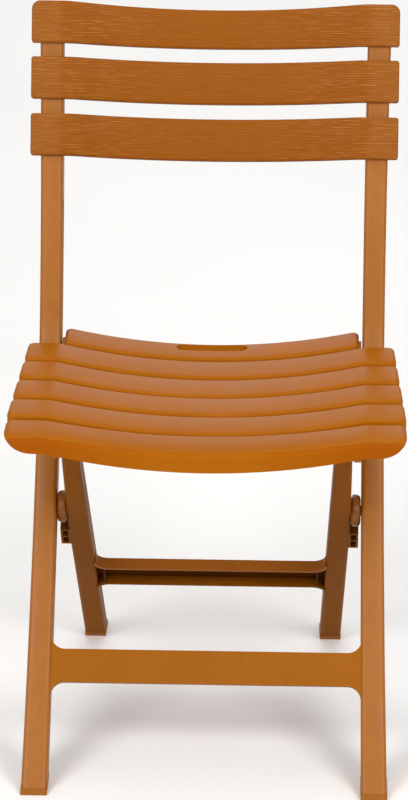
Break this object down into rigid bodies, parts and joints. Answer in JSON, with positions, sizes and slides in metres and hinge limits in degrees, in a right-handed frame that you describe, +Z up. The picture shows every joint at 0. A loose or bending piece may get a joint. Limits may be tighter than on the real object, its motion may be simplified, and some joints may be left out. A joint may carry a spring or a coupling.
{
  "type": "folding chair",
  "caption": "Slatted folding garden chair in brown moulded plastic: crossed legs pivot together while the dished seat hinges and slides up the uprights to fold flat.",
  "frame": {"origin": "centre of the overall box on the floor, chair open", "axes": "+X to the right as seen from the front, +Y from the front of the seat towards the back, +Z up"},
  "size_m": [0.4326, 0.436, 0.7881],
  "materials": {
    "leg_plastic": "satin moulded polypropylene, orange-brown",
    "grained_slat": "moulded polypropylene with a pressed wood-grain face, orange-brown",
    "seat_plastic": "satin moulded polypropylene with a faint sheen, orange-brown",
    "glide_plastic": "satin moulded plastic, orange-brown",
    "pin_plastic": "satin moulded plastic, dark brown"
  },
  "bodies": {
    "main_frame": {"main_frame": "leg_plastic", "back_slat_top": "grained_slat", "back_slat_middle": "grained_slat", "back_slat_lower": "grained_slat", "main_pivot_pin_left": "pin_plastic", "main_pivot_pin_right": "pin_plastic", "pivot_cap_left": "pin_plastic", "pivot_cap_right": "pin_plastic", "foot_glide_front_left": "glide_plastic", "foot_glide_front_right": "glide_plastic"},
    "rear_legs": {"rear_leg_frame": "leg_plastic", "pivot_spacer_left": "pin_plastic", "pivot_spacer_right": "pin_plastic", "seat_pivot_pin_left": "pin_plastic", "seat_pivot_pin_right": "pin_plastic", "seat_pivot_washer_left": "pin_plastic", "seat_pivot_washer_right": "pin_plastic", "foot_glide_rear_left": "glide_plastic", "foot_glide_rear_right": "glide_plastic"},
    "seat": {"seat_panel": "seat_plastic", "seat_guide_pin_left": "pin_plastic", "seat_guide_pin_right": "pin_plastic", "guide_washer_left": "pin_plastic", "guide_washer_right": "pin_plastic"}
  },
  "joints": [
    {"name": "rear_leg_fold", "type": "hinge", "parent": "main_frame", "child": "rear_legs", "pos_m": [0, -0.0275, 0.265], "axis": [-1, 0, 0], "range_deg": [0, 66.9]},
    {"name": "seat_fold", "type": "hinge", "parent": "rear_legs", "child": "seat", "pos_m": [0, -0.1255, 0.381], "axis": [1, 0, 0], "range_deg": [0, 124.1]}
  ],
  "couplings": [
    {"joint": "seat_fold", "follows": "rear_leg_fold", "ratio": 1.855}
  ]
}
